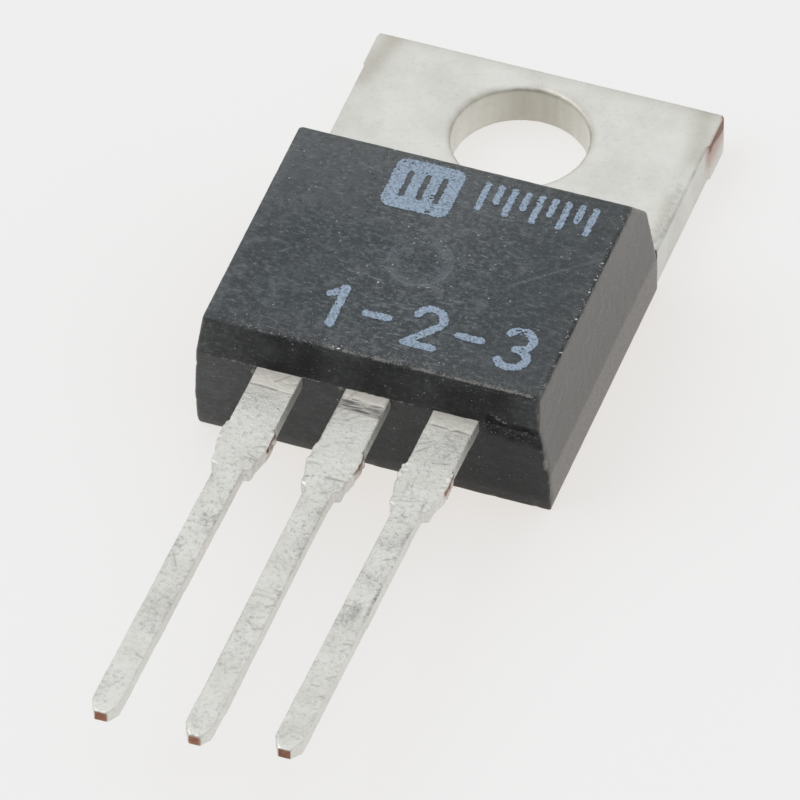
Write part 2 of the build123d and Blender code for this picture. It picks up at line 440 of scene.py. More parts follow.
def tinned_material():
    """Matt tin over copper: mottled, smudged where it was handled, bare where it was cut."""
    coat = Finish("tinned_copper")
    painted, mixed = coat.painted, coat.mixed
    clouds = coat.noise(1.3, 4, 0.6, 0.21).ranged(0.3, 0.7)
    mottle = coat.noise(0.14, 3, 0.65, 0.17)
    fine = coat.noise(0.05, 2, 0.6, 0.27)
    scratch = coat.noise(0.05, 2, 0.5, 0.13, stretch=(1, 0.12, 1))
    score = coat.noise(0.045, 1, 0.5, 0.33, stretch=(0.1, 1, 1))
    worn, pale = painted("worn"), painted("pale")
    tone = mixed(clouds, (0.725, 0.72, 0.685), (0.8, 0.8, 0.765))
    tone = mixed(mottle.ranged(0.5, 0.8, 0, 0.7) * worn, tone, (0.5, 0.505, 0.485))
    tone = mixed(scratch.ranged(0.6, 0.78, 0, 0.55) * worn, tone, (0.44, 0.44, 0.42))
    # painted light: paler near the moulding, on the lead sides and on the hole's wall
    tone = mixed(pale, tone, (0.93, 0.905, 0.835))
    smudge = painted("grime") + mottle.ranged(0, 1, -0.33, 0.27)
    smudge = (smudge + fine.ranged(0, 1, -0.24, 0.24)).ranged(0, 0.95, 0, 0.9)
    tone = mixed(smudge, tone, (0.2, 0.205, 0.2))
    # painted shade on the tab and in the hole, and smudges on the hole's rim
    tone = mixed(painted("shade_and_smudge"), tone, (0.42, 0.395, 0.315))
    copper = mixed(fine.ranged(0.35, 0.65), (0.36, 0.16, 0.1), (0.5, 0.27, 0.19))
    copper = mixed(painted("aged"), copper, (0.17, 0.085, 0.055))
    tone = mixed(painted("copper"), tone, copper)
    tone = mixed(painted("crease"), tone, (0.07, 0.065, 0.06))
    score = (score + painted("scored")).ranged(0.99, 1.16, 0, 0.8)
    return coat.look({
        "Base Color": mixed(score, tone, (0.13, 0.13, 0.135)),
        "Metallic": pale.ranged(0, 1, 1, 0.72),
        "Roughness": mottle.ranged(0.2, 0.8, 0.44, 0.56),
        "Normal": coat.bump((fine + mottle * 1.6) * (worn + 0.25), 0.009),
    })


def inner_material(name, dark, light, metallic, roughness, size):
    """A finish for a piece inside the moulding, with a faint texture size across."""
    coat = Finish(name)
    cloud = coat.noise(size, 3, 0.5, 0.4)
    return coat.look({
        "Base Color": coat.mixed(cloud.ranged(0.3, 0.7), dark, light),
        "Metallic": metallic,
        "Roughness": cloud.ranged(0.2, 0.8, roughness * 0.85, roughness * 1.15),
        "Normal": coat.bump(coat.noise(size / 6, 2, 0.5, 0.5), 0.004),
    })


# ---- places on a mesh

class Places:
    """A mesh's points and normals. x, y and z are views, so they move when the points do."""

    def __init__(self, points, normals, seed=0):
        self.points, self.normals, self.seed = points, normals, seed
        self.x, self.y, self.z = points.T
        self.upward = fade(0.3, 0.8, normals[:, 2])

    def noise(self, size, seed, stretch=(1, 1, 1)):
        return grain(self.points * stretch, size, self.seed + seed)

    def dents(self, size, seed, bias=0):
        """Noise, raised by bias, where it is above 0."""
        return np.clip(self.noise(size, seed) + bias, 0, 1)

    def patches(self):
        """0 to 1 in patches, where what is rubbed or scratched shows most."""
        return fade(-0.45, 0.45, self.noise(0.35, 12))

    def near_line(self, start, end, width):
        """1 on the line from start to end, falling to 0 at width away from it."""
        return fade(width, 0, line_gap(self.points, start, end))


# ---- the moulding's form

def stations(length, cell):
    """Places from 0 to 1 along an edge that long, closer together towards both ends."""
    near = np.array([0, 0.03, 0.06, 0.09, 0.13, 0.18, 0.24])
    count = int((length - 2 * near[-1]) / cell)
    middle = np.linspace(near[-1], length - near[-1], count + 1)[1:-1]
    return np.concatenate([near, middle, length - near[::-1]]) / length


def even_levels(low, high, cell):
    """Upright levels above low, up to high, about cell apart."""
    steps = max(1, round((high - low) / cell))
    return [(low + (high - low) * (i + 1) / steps, 0) for i in range(steps)]


def body_levels():
    """(height, inset) of each ring of the moulding's side, from the seat to the top."""
    angles = np.radians([0, 22.5, 45, 67.5, 90])
    foot, rim = FOOT_RADIUS, RIM_RADIUS
    levels = [(foot - foot * math.cos(a), foot - foot * math.sin(a)) for a in angles]
    breaks = [foot, 0.72, TAB_TOP - 0.012, TAB_TOP, RIDGE_HEIGHT, LEAD_TOP - 0.36]
    for low, high in zip(breaks, breaks[1:]):
        levels += even_levels(low, high, 0.09)
    near = (-0.3, -0.24, -0.18, -0.12, -0.08, -0.05, -0.025, 0, 0.025, 0.05, 0.08, 0.12)
    levels += [(LEAD_TOP + offset, 0) for offset in near]
    start, last = LEAD_TOP + near[-1], skin_top - rim
    levels += even_levels(start, last, 0.06)
    levels += [(last + rim * math.sin(a), rim - rim * math.cos(a)) for a in angles[1:]]
    return levels


def section(u, v, height, inset):
    """Where the grid place (u, v) falls at a height: u from -1 to 1 across, v from 0 to 1
    front to back. Upright corners are rounded."""
    middle, half, front, back = outline_at(height)
    half = half - inset - SKIN
    low = front + inset + SKIN
    high = back - SKIN - (inset if height > TAB_TOP else 0)
    x = u * half
    y = low + v * (high - low)
    back_radius = np.interp(height, SIDE_HEIGHTS[1:], BACK_CORNER_RADII)
    radius = np.where(v < 0.5, FRONT_CORNER_RADIUS, back_radius)
    inner_x = np.clip(x, -half + radius, half - radius)
    inner_y = np.clip(y, low + radius, high - radius)
    away = np.hypot(x - inner_x, y - inner_y)
    pull = np.minimum(1, radius / np.maximum(away, 1e-9))
    return middle + inner_x + (x - inner_x) * pull, inner_y + (y - inner_y) * pull


def body_grid():
    """Points and faces of the closed moulding, lofted ring by ring."""
    u, v = np.meshgrid(stations(10.2, 0.068) * 2 - 1, stations(9.6, 0.075), indexing="ij")
    grid = np.arange(u.size).reshape(u.shape)
    rim = np.concatenate([grid[:, 0], grid[-1, 1:], grid[-2::-1, -1], grid[0, -2:0:-1]])
    cells = np.stack([grid[:-1, :-1], grid[1:, :-1], grid[1:, 1:], grid[:-1, 1:]], 2).reshape(-1, 4)
    points, rings, faces = [], [], []
    levels = body_levels()
    for level in levels:
        capped = level in (levels[0], levels[-1])
        at = grid.ravel() if capped else rim
        x, y = section(u.ravel()[at], v.ravel()[at], *level)
        ring = len(points) + (rim if capped else np.arange(len(rim)))
        if capped:
            faces += (len(points) + (cells if rings else cells[:, ::-1])).tolist()
        rings.append(ring)
        points.extend(zip(x, y, [level[0]] * len(x)))
    for lower, upper in zip(rings, rings[1:]):
        quads = [lower, np.roll(lower, -1), np.roll(upper, -1), upper]
        faces += np.stack(quads, 1).tolist()
    return np.array(points), faces


# ---- the moulding's skin

def measure_skin(at):
    """Measures the moulding before its relief is added. gap is the distance to the nearest
    edge of the top face."""
    x, y, z = at.x, at.y, at.z
    at.middle, at.half, at.front, at.back = outline_at(z)
    at.from_side = at.half - np.abs(x - at.middle)
    to_flank = np.minimum(at.from_side, np.minimum(y - at.front, at.back - y)) - SKIN
    at.gap = np.maximum(skin_top - z, 0) + np.maximum(to_flank, 0)
    at.on_front = fade(0.1, 0.03, y - at.front)
    at.on_top = fade(top_z - 0.12, top_z - 0.05, z)
    at.on_side = fade(0.1, 0.03, at.from_side) * (1 - at.on_top)
    at.edge = fade(0.14, 0, at.gap)
    at.corner = fade(0.16, 0.02, at.from_side) * fade(0.3, 0.1, y - at.front)
    at.ring = np.hypot(x, y - pin_mark_y)
    at.parting = peak(z, LEAD_TOP, 0.05) * at.on_front
    # a torn patch on the parting line, towards the emitter side's corner
    at.tear_z = LEAD_TOP + np.interp(x, (3.1, 4, 5), (0.06, -0.16, -0.22))
    at.tear_z += 0.06 * at.noise(0.3, 18)
    at.tear = fade(3.15, 3.6, x) * fade(0.4, 0.22, np.abs(z - at.tear_z))
    at.tear *= at.on_front
    at.tear *= 0.45 + 0.55 * fade(-0.6, 0.1, at.noise(0.16, 5))
    # the mould left flash against each lead's side
    at.flash = np.zeros(len(at.points))
    for axis, drop in ((-LEAD_PITCH, 0.75), (0, 0.22), (LEAD_PITCH, 0.16)):
        beside = peak(x, axis - LEAD_WIDTH / 2 - 0.13, 0.17) * (z < LEAD_TOP)
        at.flash += beside * fade(LEAD_TOP - drop, LEAD_TOP - drop * 0.4, z)
    at.flash *= at.on_front * fade(-0.6, 0.5, at.noise(0.1, 10, (1, 1, 0.4)))


def skin_relief(at):
    """How far each point of the skin moves out along its normal."""
    x, y, z = at.x, at.y, at.z
    rise = 0.003 * at.noise(1.6, 1) + 0.0035 * at.noise(0.22, 2)
    # the top's edges are chipped, most of all on the right and beside the leads
    chipped = fade(1.2, 0.6, y - at.front) * fade(-4.9, -4, x)
    chipped = 0.15 + 0.85 * np.maximum(fade(3, 4.2, x), chipped)
    rise -= at.edge * chipped * 0.044 * at.dents(0.1, 3, 0.1)
    rise -= at.edge * chipped * 0.02 * at.dents(0.45, 4)
    rise -= at.edge * fade(3.9, 4.5, x) * 0.09 * at.dents(0.2, 22, -0.05)
    # the mould's ejector pin left a shallow round mark
    pressed = fade(PIN_RADIUS, PIN_RADIUS - 0.1, at.ring)
    rise -= at.on_top * 0.02 * pressed
    rise -= at.on_top * 0.006 * peak(at.ring, PIN_RADIUS * 0.45, 0.25)
    rise -= at.tear * (0.05 + 0.05 * at.noise(0.12, 6))
    # chips along the upright corner edges, the foot, the parting line and the flash
    rise -= at.corner * 0.034 * at.dents(0.28, 7, -0.1)
    foot = fade(0.22, 0, z) * at.on_front
    rise -= foot * 0.034 * at.dents(0.2, 8)
    rise += foot * np.interp(x, (-4.5, -1.5, 1.5, 3), (-0.03, 0, 0.006, 0.034))
    rise -= at.parting * 0.022 * at.dents(0.16, 9, 0.1)
    return rise - 0.02 * at.flash * at.dents(0.09, 11)


def skin_wear(at):
    """Where the skin is rubbed pale: the top's edges, the parting line, flash and corners."""
    x, y, z = at.x, at.y, at.z
    patchy = at.patches()
    crumbled = fade(-0.5, 0.3, at.noise(0.16, 24))
    wear = fade(0.3, 0.04, at.gap) * fade(1, 0.6, y - at.front)
    wear *= np.interp(x, (-5, -3.2, -0.5, 2.5, 5), (0.4, 0.5, 0.85, 0.92, 0.85))
    on_edge = fade(0.09, 0.02, at.gap)
    wear *= 0.26 + 0.3 * patchy + (0.08 + 0.3 * crumbled) * on_edge
    wear *= fade(0.055, 0.03, skin_top - z)
    edge = 0.5 * at.edge * patchy * fade(-0.2, 0.4, at.noise(0.9, 13))
    wear = np.maximum(wear, edge)
    parting = 0.85 * at.parting * fade(-0.55, 0.35, at.noise(0.6, 14))
    wear += parting * fade(3.4, 3.1, x)
    wear += 0.8 * at.flash
    wear += 0.45 * at.corner * fade(0.1, 0.6, at.noise(0.35, 15))
    beside_tear = peak(z, at.tear_z + 0.26, 0.1) * fade(3.2, 3.6, x)
    wear += 0.7 * beside_tear * at.on_front * patchy
    return wear + 0.62 * at.near_line((5.06, -12.5, 2.25), (5.09, -12.45, 1.75), 0.16)


def skin_shade(at):
    """Painted shade, black: the torn patch, the front below its edge, the right edge, and the
    corner where the tab meets the moulding's back.
    """
    x, y, z = at.x, at.y, at.z
    above = from_table(x, FRONT_SHADE_ABOVE) * (0.9 + 0.25 * at.noise(0.5, 16))
    below = from_table(x, FRONT_SHADE_BELOW) * fade(-0.2, 0.6, z)
    front = fade(0.32, 0.14, y - at.front) * np.where(z > LEAD_TOP, above, below)
    right_edge = 0.8 * fade(0.12, 0, at.gap) * fade(3.4, 4.4, x)
    ledge = at.near_line((4.98, back_y - 0.07, 1.5), (5.06, back_y - 0.04, 1.28), 0.12)
    return np.maximum.reduce([np.clip(1.8 * at.tear, 0, 1), front, right_edge, ledge])


def skin_tints(at):
    """The skin's plain flanks, from 0 well inside the top to 1 well down a flank, its polish and rim,
    and the sheen painted on its flanks and its top."""
    x, y, z = at.x, at.y, at.z
    below = skin_top - RIM_RADIUS - z
    inside = np.minimum(at.from_side, np.minimum(y - at.front, at.back - y))
    past = np.where(below > 0, below, -np.maximum(inside - SKIN - RIM_RADIUS, 0))
    past += 0.09 * fade(3.6, 4.4, x) * at.noise(0.2, 21)
    # painted sheen: the sides paler and warmer, most below their ridge, and the front along its foot
    flank_sheen = at.on_side * np.interp(z, (0, 0.25, 1.2, 1.5, 4.2), (1, 0.9, 0.75, 0.42, 0.5))
    flank_sheen += at.on_side * 0.25 * fade(2.6, 4, z) * fade(-7.5, -5, y)
    # painted sheen: the top paler and bluer towards the tab, and along its left edge
    top_sheen = np.interp(y, (-9, -7.8, -7.2, -5.6, -4.6), (0, 0.04, 0.26, 0.4, 0.46))
    top_sheen *= np.interp(x, (-4.5, 0.5, 2, 3.6), (1, 1, 0.5, 0.12))
    top_sheen += 0.3 * fade(0.5, 0.1, x - at.middle + at.half)
    top_sheen += 0.1 * at.noise(0.9, 17)
    return {
        "flank": np.interp(past, (-0.16, 0, 0.14), (0, 0.5, 1)),
        "ragged": np.interp(x, (-4.7, -4.2, -2, 4), (0.1, 0.5, 1, 1)),
        "polish": at.on_side,
        "rim": fade(1.3, 0.1, at.gap) * (1 - fade(-4, -4.6, x)),
        "flank_sheen": np.maximum(flank_sheen, at.on_front * fade(0.55, 0.1, z) * 0.3),
        "top_sheen": top_sheen * fade(0, 0.04, RIM_RADIUS - (skin_top - z)),
    }


def skin_marks(at):
    """The top's scuffs and scratches, the nicks at its edges, and how coarse the skin is."""
    x, y, z = at.x, at.y, at.z
    around = np.degrees(np.arctan2(y - pin_mark_y, x))
    scuff = from_table(around, RIM_SCUFF) * peak(at.ring, PIN_RADIUS, 0.075)
    soft = 0.3 + 0.12 * at.noise(0.4, 19)
    scuff += soft * peak(at.ring, PIN_RADIUS - 0.16, 0.26)
    for start, end, width, strength in SCRATCHES:
        line = at.near_line((*start, top_z), (*end, top_z), width)
        scuff += strength * line * (0.5 + 0.5 * at.patches())
    nicks = fade(0.17, 0.05, at.gap) * (0.2 + 0.14 * at.noise(0.28, 20))
    front = fade(0.5, 0.3, y - at.front) * fade(-3.4, -2.4, x)
    nicks *= fade(3.8, 4.5, x) + 0.8 * front
    on_back = fade(0.1, 0.03, at.back - y) * (1 - at.on_top)
    plain = np.maximum.reduce([at.on_side, on_back, fade(0.05, 0, z)])
    texture = 1 - 0.68 * plain - 0.5 * at.on_front * (1 - plain)
    texture -= 0.45 * at.on_top * fade(1.2, 3.6, x)
    texture -= 0.3 * at.on_top * fade(-0.5, -3, x)
    nicks = np.where(z > top_z - 0.2, nicks, 0)
    return {"scuff": scuff * at.on_top, "notch": nicks, "texture": texture}


def moulding():
    """The moulding as it shows: its edges rubbed and chipped, its parting line flashed."""
    piece = mesh_object("body_moulding", *body_grid())
    points, normals = points_of(piece)
    at = Places(points, normals)
    measure_skin(at)
    points += normals * skin_relief(at)[:, None]
    # the bare back of the die pad shows in a window in the moulding's underside
    under_pad = (at.z < 0.01) & (np.abs(at.x) < DIE_PAD_HALF - MOULD_LOCK - 0.04)
    under_pad &= (at.y > pad_front_y + 0.04) & (at.y < back_y - 0.02)
    points[under_pad, 2] = 0.25
    set_points(piece, kept_inside(points, body_low, body_high, 0.001, 0.004))
    paint(piece, {"wear": skin_wear(at), "dark": skin_shade(at)})
    paint(piece, skin_tints(at))
    paint(piece, skin_marks(at))
    return finished(piece, epoxy, "epoxy", "moulded_body")


# ---- grit on the moulding

# Lone flakes on the top: x, y, length, width, turn in degrees and brightness
LONE_FLAKES = (
    (-0.81, -9.47, 0.12, 0.07, 60, 1), (-1.14, -12.2, 0.1, 0.08, 120, 1),
    (-0.98, -12.22, 0.13, 0.08, 10, 1), (-0.93, -12.1, 0.08, 0.06, 0, 0.9),
    (2.24, -9.07, 0.06, 0.05, 0, 0.9), (2.82, -8.99, 0.12, 0.04, 80, 0.7),
    (2.76, -9.08, 0.08, 0.03, 10, 0.5), (1.12, -10.87, 0.17, 0.04, 25, 0.7),
    (0.54, -9.22, 0.24, 0.05, 18, 0.45), (0.3, -9.3, 0.16, 0.04, 8, 0.35),
    (-0.39, -7.72, 0.09, 0.06, 30, 0.6), (-0.42, -7.52, 0.14, 0.03, 10, 0.5),
    (0.41, -7.37, 0.16, 0.05, -45, 0.7), (1.8, -6.78, 0.2, 0.03, -30, 0.4),
    (4.74, -7.97, 0.09, 0.05, 70, 0.7), (4.75, -9.05, 0.08, 0.06, 80, 0.75),
    (4.73, -8.35, 0.07, 0.04, 80, 0.5), (4.75, -8.7, 0.06, 0.04, 90, 0.5),
)
# Scratches that hold grit, and how many flakes
GRITTY_SCRATCHES = (
    (*LONG_SCRATCH, 26), ((2.1, -7.2), (3.4, -7.6), 12), (*BACK_SCRATCH, 12),
    ((-3, -5.3), (-1.9, -5.4), 8), ((0.9, -7.9), (2, -7.8), 8),
)


def gritty_faces():
    """What scatter() takes for the top and its edges, the front and its torn patch, and both
    sides, above and below their ridge."""
    middle, half, front, back = outline_at(top_z)
    left, long = (middle - half, front, skin_top), (0, back - front, 0)
    right_edge, wide = (middle + half - 0.16, front, skin_top), (2 * half, 0, 0)
    yield 620, left, wide, long, (0.018, 0.04), (0.25, 0.62), 5
    yield 90, left, wide, (0, 0.45, 0), (0.02, 0.045), (0.3, 0.7), 2
    yield 70, left, wide, (0, 0.11, 0), (0.015, 0.045), (0.3, 0.75), 1.5
    yield 70, left, wide, long, (0.035, 0.05), (0.6, 0.95), 1
    yield 60, right_edge, (0.14, 0, 0), long, (0.02, 0.05), (0.5, 0.95), 2
    for low, high, count in ((LEAD_TOP, top_z, 130), (0, LEAD_TOP, 110)):
        _, half_low, front_low, _ = outline_at(low)
        _, half_high, front_high, _ = outline_at(high)
        half = min(half_low, half_high)
        corner, up = (-half, front_low + SKIN, low), (0, front_high - front_low, high - low)
        yield count, corner, (2 * half, 0, 0), up, (0.018, 0.036), (0.25, 0.65), 1
    tear = (3.2, outline_at(LEAD_TOP)[2] + SKIN, LEAD_TOP - 0.36)
    yield 28, tear, (1.7, 0, 0), (0, 0, 0.38), (0.018, 0.045), (0.1, 0.42), 1.5
    length = back_y - front_y - 1.8
    for side in (-1, 1):
        start = front_y + 0.4 if side > 0 else back_y - 1.4
        for low, high in ((RIDGE_HEIGHT, top_z), (0, RIDGE_HEIGHT)):
            (middle_low, half_low), (middle_high, half_high) = outline_at(low)[:2], outline_at(high)[:2]
            foot = middle_low + side * (half_low - SKIN)
            up = (middle_high + side * (half_high - SKIN) - foot, 0, high - low)
            yield 90, (foot, start, low), (0, side * length, 0), up, (0.018, 0.034), (0.35, 0.75), 1


def grit():
    """Fine pale grit, flakes and short scratches that lie on the moulding's faces."""
    random = np.random.RandomState(5)
    points, faces, glow = [], [], []
    sides = 7

    def flake(place, across, along, long, wide, bright):
        """One low, ragged dome; across and along lie in its face."""
        start = len(points)
        out = np.cross(along, across)
        for k in range(sides):
            angle = 2 * math.pi * k / sides
            size = random.uniform(0.7, 1.15) / 2
            step = along * math.cos(angle) * long * size + across * math.sin(angle) * wide * size
            points.append(place + step - out * 0.006)
        points.append(place + out * 0.006)
        points.append(place - out * 0.01)
        for k in range(sides):
            n = (k + 1) % sides
            faces.append((start + k, start + n, start + sides))
            faces.append((start + n, start + k, start + sides + 1))
        glow.extend([bright] * (sides + 2))

    def scatter(count, corner, right, up, sizes, brights, stretch):
        """Flakes over a four-sided face that runs from corner along right and up."""
        corner, right, up = (np.array(v, float) for v in (corner, right, up))
        level, rise = right / np.linalg.norm(right), up / np.linalg.norm(up)
        for _ in range(count):
            a, b = random.uniform(0.015, 0.985, 2)
            turn = random.normal(0, 0.35)
            along = level * math.cos(turn) + rise * math.sin(turn)
            across = rise * math.cos(turn) - level * math.sin(turn)
            wide = random.uniform(*sizes)
            long = wide * (1 + stretch * random.uniform(0, 1) ** 3)
            bright = random.uniform(*brights) ** 2
            flake(corner + a * right + b * up, across, along, long, wide, bright)

    for face in gritty_faces():
        scatter(*face)
    for x, y, long, wide, turn, bright in LONE_FLAKES:
        turn = math.radians(turn)
        along = np.array((math.cos(turn), math.sin(turn), 0))
        across = np.array((-along[1], along[0], 0))
        flake(np.array((x, y, skin_top)), across, along, long, wide, bright)
    for start, end, count in GRITTY_SCRATCHES:
        start, end = np.array((*start, skin_top)), np.array((*end, skin_top))
        along = (end - start) / np.linalg.norm(end - start)
        across = np.array((-along[1], along[0], 0))
        for _ in range(count):
            place = start + (end - start) * random.uniform(0, 1) + across * random.normal(0, 0.025)
            flake(place, across, along, random.uniform(0.06, 0.2), 0.02, random.uniform(0.1, 0.35))
    points = kept_inside(points, body_low, body_high, 0.001, 0.003)
    piece = mesh_object("surface_grit", points, faces)
    paint(piece, {"bright": np.array(glow)})
    return finished(piece, pale_grit, "epoxy")


# ---- the leads

def clamp_line(at, lead):
    """The clamp's line across a lead: where it is, how dark it is and how scored."""
    start, wide = lead.clamp
    broad = wide > 0.1
    streaky, scored = (0.26, 0.54) if broad else (0.5, 0)
    start = start + 0.05 * at.side + 0.015 * at.noise(0.3, 10)
    clamped = fade(start - 0.03, start, at.run)
    clamped *= fade(start + wide + 0.03, start + wide, at.run)
    clamped *= at.upward
    lower_edge = peak(at.run, start + wide, 0.035) * at.upward
    lower_edge *= fade(-0.3, 0.2, at.side) * broad
    streaks = streaky + 0.3 * at.noise(0.045, 8, (0.15, 1, 1))
    crease = clamped * streaks + 0.45 * lower_edge
    crease *= fade(-0.75, 0, at.noise(0.3, 9) + 0.5 * broad)
    return clamped, crease, scored * clamped


def fine_lines(at, lead):
    """Lines coined by the shoulder, and short scratches: how deep and how dark they are."""
    deep, dark = np.zeros(len(at.points)), np.zeros(len(at.points))
    for place, arch, strength in ((2.92, 0.16, 0.35), (3.1, 0.05, 0.2), (3.36, -0.22, 0.5)):
        line = peak(at.run + arch * at.side * at.side + 0.12 * at.side, place, 0.035)
        line *= at.upward * fade(-0.1, 0.4, at.noise(0.35, 3))
        deep += 0.01 * line
        dark += strength * line
    random = np.random.RandomState(lead.seed)
    flat = Places(at.points * (1, 1, 0), at.normals)
    for _ in range(26):
        off_axis = random.uniform(-0.6, 0.6)
        run = 0.3 + 12 * random.uniform(0, 1) ** 1.6
        turn = random.normal(0.1, 0.5)
        long = random.uniform(0.15, 0.6)
        x, y = lead.axis + lead.bend * run / LEAD_LENGTH + off_axis, front_y - run
        end = (x + long * math.cos(turn), y + long * math.sin(turn), 0)
        line = flat.near_line((x, y, 0), end, 0.045) * at.upward
        dark += random.uniform(0.12, 0.4) * line
        deep += 0.004 * line
    return deep, dark


def lead_smudges(at, lead):
    """Grey smudges: beside the clamp's line, in patches, along an edge, and broadly."""
    toward, reach, strength = lead.smudge
    start, run = lead.clamp[0], at.run
    spread = fade(start - 0.05, start + 0.2, run) * fade(reach, 0.5 * reach, run)
    leaning = toward * at.side / 0.65 + 0.5 * at.noise(0.4, 5)
    grime = strength * spread * fade(-0.9, 0.55, leaning)
    narrow = fade(3.2, 3.6, run)
    grime += 0.16 * narrow * fade(-0.3, 0.6, at.noise(0.7, 6))
    handled = narrow * fade(10.5, 8, run)
    patches = fade(-0.2, 0.8, at.noise(0.55, 7))
    grime += (0.26 + 0.08 * toward) * handled * patches
    edge_line = fade(-0.5, 0.4, at.noise(0.3, 12, (1, 0.4, 1)))
    grime += (0.24 + 0.12 * toward) * handled * peak(at.side, 0.35, 0.09) * edge_line
    broad = 0.07 + 0.07 * max(toward, 0) * fade(3, 12, run)
    grime += broad * fade(1, 4, run)
    return grime * fade(0.1, 0.6, at.normals[:, 2])


def dress_lead(points, normals, lead):
    """What one lead shows outside the moulding: how far each point moves along its normal,
    and what is painted on it. Both are 0 away from this lead."""
    at = Places(points, normals, lead.seed)
    at.run = front_y - at.y
    at.side = at.x - lead.axis - lead.bend * np.clip(at.run, 0, None) / LEAD_LENGTH
    toward = lead.smudge[0]
    rough = at.noise(0.11, 0)
    rise = 0.005 * at.noise(0.8, 1) + 0.004 * rough
    # the dam bar was sheared off here, which left torn stubs
    stub = fade(STUB_START - 0.1, STUB_START + 0.02, at.run)
    stub *= fade(STUB_END + 0.13, STUB_END + 0.01, at.run)
    torn = stub * fade(LEAD_WIDTH / 2 - 0.1, LEAD_WIDTH / 2, np.abs(at.side))
    rise += torn * (0.03 * rough + 0.02 * at.noise(0.25, 2) - 0.012)
    clamped, crease, scored = clamp_line(at, lead)
    deep, lines = fine_lines(at, lead)
    rise -= 0.008 * clamped + deep
    # copper is bare along the top of the right stub's side, and on the lead's end
    cut_side = fade(0.55, 0.85, normals[:, 0]) * stub
    from_top = at.z - LEAD_TOP + 0.05 * at.noise(0.16, 4)
    sliver = cut_side * fade(-0.21, -0.07, from_top)
    end_face = fade(0.75, 0.95, -normals[:, 1])
    end_face *= fade(LEAD_LENGTH - 0.12, LEAD_LENGTH - 0.03, at.run)
    brown = 0.45 + 0.1 * toward + 0.3 * at.noise(0.14, 13)
    on_sides = fade(0.5, 0.9, np.abs(normals[:, 0]))
    tip_wear = fade(5, 11, at.run)
    paints = {
        "copper": np.maximum.reduce([0.95 * sliver, 0.22 * cut_side, end_face]),
        "aged": 0.6 * sliver + end_face * brown,
        "grime": lead_smudges(at, lead),
        "crease": crease + lines,
        "scored": scored,
        "worn": fade(0.5, 1.2, at.run) * 0.6 + 0.4 - 0.45 * tip_wear,
        # painted light: the top paler near the moulding, where its shade falls, and the sides paler
        "pale": fade(1.3, 0.2, at.run) * at.upward + 0.3 * on_sides,
    }
    mine = (np.abs(at.side) < 0.9) & (at.run > -0.05)
    return rise * mine, {name: values * mine for name, values in paints.items()}


def tinned_piece(piece, points, paints, slot, node):
    """Finishes a tinned piece, and keeps it inside its CAD node's box."""
    paint(piece, paints)
    set_points(piece, kept_inside(points, *corners_mm(node), 0.0005, 0.0005))
    return finished(piece, tin, slot, node)


def outer_lead(node, name, lead):
    piece = softened_copy(node, name, LEAD_CELL)
    points, normals = points_of(piece)
    rise, paints = dress_lead(points, normals, lead)
    points += normals * rise[:, None]
    return tinned_piece(piece, points, paints, "tinned_lead", node)


# ---- the header

def cut_ear(at, paints):
    """The ears were sheared from the strip, which left copper on the right one's side."""
    top_down = TAB_TOP - at.z
    ear = fade(0.9, 1.4, at.y) * fade(0.3, 0.7, at.normals[:, 0]) * (at.x > 4)
    depth = 0.2 + 0.16 * fade(1.6, 2.4, at.y) + 0.07 * at.noise(0.3, 72)
    streak = ear * fade(depth + 0.12, depth, top_down) * fade(1.15, 1.4, at.y)
    faint = 0.62 * ear * fade(1.25, 0.3, top_down)
    paints["copper"] += np.maximum(0.95 * streak, faint)
    paints["aged"] += 0.8 * streak


def tab_shades(at, paints):
    """Soft painted shade: a band across each ear, the sides, the tab's end and its right side,
    where a grey smear lies too.
    """
    def band(start, end, width):
        return at.near_line((*start, TAB_TOP), (*end, TAB_TOP), width)

    shade = 0.1 * fade(-0.2, 0.8, at.noise(0.9, 73))
    shade += 0.55 * band((-4.55, 2.6), (-4.95, 0.8), 0.55)
    shade += 0.5 * band((4.55, 2.5), (4.9, 0.8), 0.6)
    shade += 0.16 * fade(4.2, 4.8, np.abs(at.x))
    shade += 0.26 * fade(0.45, 0.05, tab_end_y - at.y)
    shade += 0.45 * band((4.72, -0.9), (4.8, -2.6), 0.28) * (0.6 + 0.4 * at.noise(0.4, 76))
    # painted shade: the tab's ear bands, sides and end painted darker
    paints["shade_and_smudge"] = 0.62 * at.on_tab * at.upward * shade
    smear = band((4.86, -0.4), (4.86, -2.7), 0.26) * at.upward
    paints["grime"] += at.on_tab * smear * (0.32 + 0.16 * at.noise(0.4, 77))
    paints["worn"] += 0.12 * at.on_tab


def hole_wall(at, paints):
    """Painted light and shade: the hole's wall is painted paler, and darker most of all at its far
    side; its rim is smudged, and painted darker at its upper right.
    """
    wall = fade(HOLE_RADIUS + 0.16, HOLE_RADIUS + 0.02, at.from_hole)
    wall *= fade(0.6, 0.3, at.normals[:, 2])
    tones = from_table(np.degrees(np.arctan2(at.x, at.y)), WALL_SHADE)
    tones += 0.08 * at.noise(0.16, 74, (1, 1, 0.15))
    rim_smudge_and_shade = fade(-1.2, 0.2, at.y) * (0.5 + 0.4 * at.noise(0.28, 78))
    # painted shade over the rim's upper right, where it would catch a highlight
    rim_smudge_and_shade += 0.75 * fade(0.3, 0.9, at.x) * fade(-0.2, 0.6, at.y)
    paints["shade_and_smudge"] += wall * np.clip(tones, 0, 1)
    paints["shade_and_smudge"] += rim_smudge_and_shade * np.sqrt(at.drawn) * at.upward
    # painted light: the wall paler and less metallic
    paints["pale"] += 0.5 * wall * (1 - at.upward)


def edge_burr(at, paints):
    """A dark burr runs along the top of the right edge, from the ear to the moulding."""
    width = 0.075 + 0.06 * fade(-1, -2.2, at.y)
    burr = peak(at.x, header_high.x - 0.085, width) * peak(at.z, TAB_TOP, 0.11)
    burr *= fade(1.4, 1.2, at.y) * at.on_tab
    paints["crease"] += burr * (0.26 + 0.16 * at.noise(0.35, 75))


